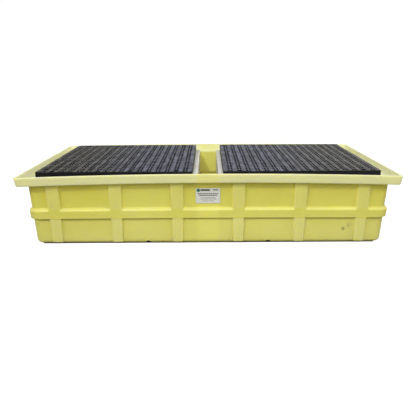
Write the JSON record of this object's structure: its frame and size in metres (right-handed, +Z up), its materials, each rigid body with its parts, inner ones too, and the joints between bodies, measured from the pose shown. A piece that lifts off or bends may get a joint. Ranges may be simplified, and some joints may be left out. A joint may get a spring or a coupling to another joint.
{
  "type": "spill containment pallet",
  "caption": "Low rectangular spill sump with ribbed walls and an upstanding rim, holding interlocking support panels under lift-out slotted deck grates.",
  "frame": {"origin": "middle of the base, on the ground", "axes": "+X to the right along the length, +Y to the rear, +Z up"},
  "size_m": [2.97, 1.436, 0.588],
  "materials": {
    "sump_plastic": "satin rotationally moulded polyethylene with a faint orange-peel skin",
    "label_vinyl": "satin printed vinyl label",
    "grate_plastic": "moulded polyethylene with a light dusty bloom",
    "support_plastic": "natural uncoloured polyethylene, slightly translucent"
  },
  "bodies": {
    "sump": {"sump": "sump_plastic", "label": "label_vinyl"},
    "supports_left": {"support_left_long_inner": "support_plastic", "support_left_long_middle": "support_plastic", "support_left_long_outer": "support_plastic", "support_left_cross_1": "support_plastic", "support_left_cross_2": "support_plastic", "support_left_cross_3": "support_plastic", "support_left_cross_4": "support_plastic"},
    "grate_left_outer": {"grate_left_outer": "grate_plastic"},
    "grate_left_inner": {"grate_left_inner": "grate_plastic"},
    "supports_right": {"support_right_long_inner": "support_plastic", "support_right_long_middle": "support_plastic", "support_right_long_outer": "support_plastic", "support_right_cross_1": "support_plastic", "support_right_cross_2": "support_plastic", "support_right_cross_3": "support_plastic", "support_right_cross_4": "support_plastic"},
    "grate_right_outer": {"grate_right_outer": "grate_plastic"},
    "grate_right_inner": {"grate_right_inner": "grate_plastic"}
  },
  "joints": [
    {"name": "supports_left_lift", "type": "slide", "parent": "sump", "child": "supports_left", "axis": [0, 0, 1], "range_m": [0, 0.6]},
    {"name": "grate_left_outer_lift", "type": "slide", "parent": "supports_left", "child": "grate_left_outer", "axis": [0, 0, 1], "range_m": [0, 0.3]},
    {"name": "grate_left_inner_lift", "type": "slide", "parent": "supports_left", "child": "grate_left_inner", "axis": [0, 0, 1], "range_m": [0, 0.3]},
    {"name": "supports_right_lift", "type": "slide", "parent": "sump", "child": "supports_right", "axis": [0, 0, 1], "range_m": [0, 0.6]},
    {"name": "grate_right_outer_lift", "type": "slide", "parent": "supports_right", "child": "grate_right_outer", "axis": [0, 0, 1], "range_m": [0, 0.3]},
    {"name": "grate_right_inner_lift", "type": "slide", "parent": "supports_right", "child": "grate_right_inner", "axis": [0, 0, 1], "range_m": [0, 0.3]}
  ]
}
